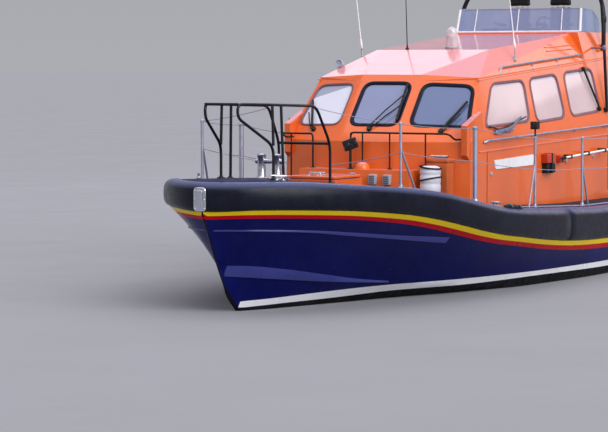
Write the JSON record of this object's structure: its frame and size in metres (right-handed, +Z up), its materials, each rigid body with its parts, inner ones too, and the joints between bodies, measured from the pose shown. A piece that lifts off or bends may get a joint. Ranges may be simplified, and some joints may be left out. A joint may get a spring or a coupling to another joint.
{
  "type": "fast rescue lifeboat",
  "caption": "Fast waterjet rescue lifeboat with a navy hull, black belt fender, orange wheelhouse, flybridge and folding mast.",
  "frame": {"origin": "on the centreline at the waterline, half way along the boat", "axes": "+X to the bow, +Y to port, +Z up"},
  "size_m": [13.6, 4.54, 5.99],
  "materials": {
    "hull_navy": "gloss navy paint on a composite hull",
    "fender_rubber": "satin black covered foam fender",
    "house_orange": "gloss orange paint",
    "stainless": "polished stainless steel",
    "black_tube": "black coated tube",
    "glass": "tinted toughened glass",
    "seat_black": "black moulded seats",
    "console_grey": "grey moulding",
    "white_gloss": "gloss white moulding",
    "jet_metal": "cast aluminium",
    "engine_grey": "painted iron"
  },
  "bodies": {
    "boat": {"aerial_port": "white_gloss", "aerial_starboard": "white_gloss", "aft_bulkhead": "house_orange", "bow_bitts": "stainless", "bow_pulpit": "black_tube", "crew_seats_port": "seat_black", "crew_seats_starboard": "seat_black", "deck": "hull_navy", "engine_port": "engine_grey", "engine_starboard": "engine_grey", "fender_bow": "fender_rubber", "fender_port": "fender_rubber", "fender_starboard": "fender_rubber", "flybridge": "house_orange", "flybridge_console": "seat_black", "flybridge_seats": "seat_black", "flybridge_windscreen": "glass", "foredeck_trunk": "house_orange", "front_rail": "black_tube", "guard_rail_port": "stainless", "guard_rail_starboard": "stainless", "hand_rail_port": "stainless", "hand_rail_starboard": "stainless", "helm_console": "console_grey", "hull": "hull_navy", "jet_housing_port": "jet_metal", "jet_housing_starboard": "jet_metal", "pane_front_centre": "glass", "pane_front_port": "glass", "pane_front_starboard": "glass", "pane_side_1_port": "glass", "pane_side_1_starboard": "glass", "pane_side_2_port": "glass", "pane_side_2_starboard": "glass", "pane_side_3_port": "glass", "pane_side_3_starboard": "glass", "raft_canister": "white_gloss", "roof_rail_port": "stainless", "roof_rail_starboard": "stainless", "stem_fitting": "stainless", "stern_platform": "hull_navy", "stern_rail": "stainless", "tow_post": "stainless", "wheelhouse_lower": "house_orange", "wheelhouse_roof": "house_orange", "wheelhouse_upper": "house_orange"},
    "foredeck_hatch": {"foredeck_hatch": "house_orange"},
    "engine_hatch": {"engine_hatch": "hull_navy"},
    "door": {"wheelhouse_door": "house_orange", "door_pane": "glass"},
    "mast": {"mast": "black_tube", "radome": "white_gloss"},
    "flybridge_wheel": {"flybridge_wheel": "seat_black"},
    "searchlight": {"searchlight": "stainless"},
    "impeller_port": {"impeller_port": "jet_metal"},
    "jet_nozzle_port": {"jet_nozzle_port": "jet_metal"},
    "reverse_bucket_port": {"reverse_bucket_port": "jet_metal"},
    "impeller_starboard": {"impeller_starboard": "jet_metal"},
    "jet_nozzle_starboard": {"jet_nozzle_starboard": "jet_metal"},
    "reverse_bucket_starboard": {"reverse_bucket_starboard": "jet_metal"}
  },
  "joints": [
    {"name": "foredeck_hatch_hinge", "type": "hinge", "parent": "boat", "child": "foredeck_hatch", "pos_m": [3.29, 0, 1.62], "axis": [0, -1, 0], "range_deg": [0, 100]},
    {"name": "engine_hatch_hinge", "type": "hinge", "parent": "boat", "child": "engine_hatch", "pos_m": [-5.394, 0, 1.06], "axis": [0, -1, 0], "range_deg": [0, 85]},
    {"name": "door_hinge", "type": "hinge", "parent": "boat", "child": "door", "pos_m": [-3.826, -0.4, 1.4], "axis": [0, 0, 1], "range_deg": [0, 110]},
    {"name": "mast_fold", "type": "hinge", "parent": "boat", "child": "mast", "pos_m": [-2.92, 0, 3.4], "axis": [0, -1, 0], "range_deg": [0, 60]},
    {"name": "flybridge_wheel_turn", "type": "hinge", "parent": "boat", "child": "flybridge_wheel", "pos_m": [-2.67, 0.36, 3.75], "axis": [-0.9211, 0, 0.3894], "range_deg": [-270, 270]},
    {"name": "searchlight_turn", "type": "hinge", "parent": "boat", "child": "searchlight", "pos_m": [0.3, 0.22, 3.525], "axis": [0, 0, 1], "range_deg": [-170, 170]},
    {"name": "impeller_spin_port", "type": "hinge", "parent": "boat", "child": "impeller_port", "pos_m": [-6.05, 0.52, -0.23], "axis": [1, 0, 0], "continuous": true},
    {"name": "nozzle_steer_port", "type": "hinge", "parent": "boat", "child": "jet_nozzle_port", "pos_m": [-6.415, 0.52, -0.23], "axis": [0, 0, 1], "range_deg": [-25, 25]},
    {"name": "bucket_lower_port", "type": "hinge", "parent": "jet_nozzle_port", "child": "reverse_bucket_port", "pos_m": [-6.47, 0.52, -0.23], "axis": [0, -1, 0], "range_deg": [0, 70]},
    {"name": "impeller_spin_starboard", "type": "hinge", "parent": "boat", "child": "impeller_starboard", "pos_m": [-6.05, -0.52, -0.23], "axis": [1, 0, 0], "continuous": true},
    {"name": "nozzle_steer_starboard", "type": "hinge", "parent": "boat", "child": "jet_nozzle_starboard", "pos_m": [-6.415, -0.52, -0.23], "axis": [0, 0, 1], "range_deg": [-25, 25]},
    {"name": "bucket_lower_starboard", "type": "hinge", "parent": "jet_nozzle_starboard", "child": "reverse_bucket_starboard", "pos_m": [-6.47, -0.52, -0.23], "axis": [0, -1, 0], "range_deg": [0, 70]}
  ],
  "couplings": [
    {"joint": "nozzle_steer_starboard", "follows": "nozzle_steer_port", "ratio": 1}
  ]
}
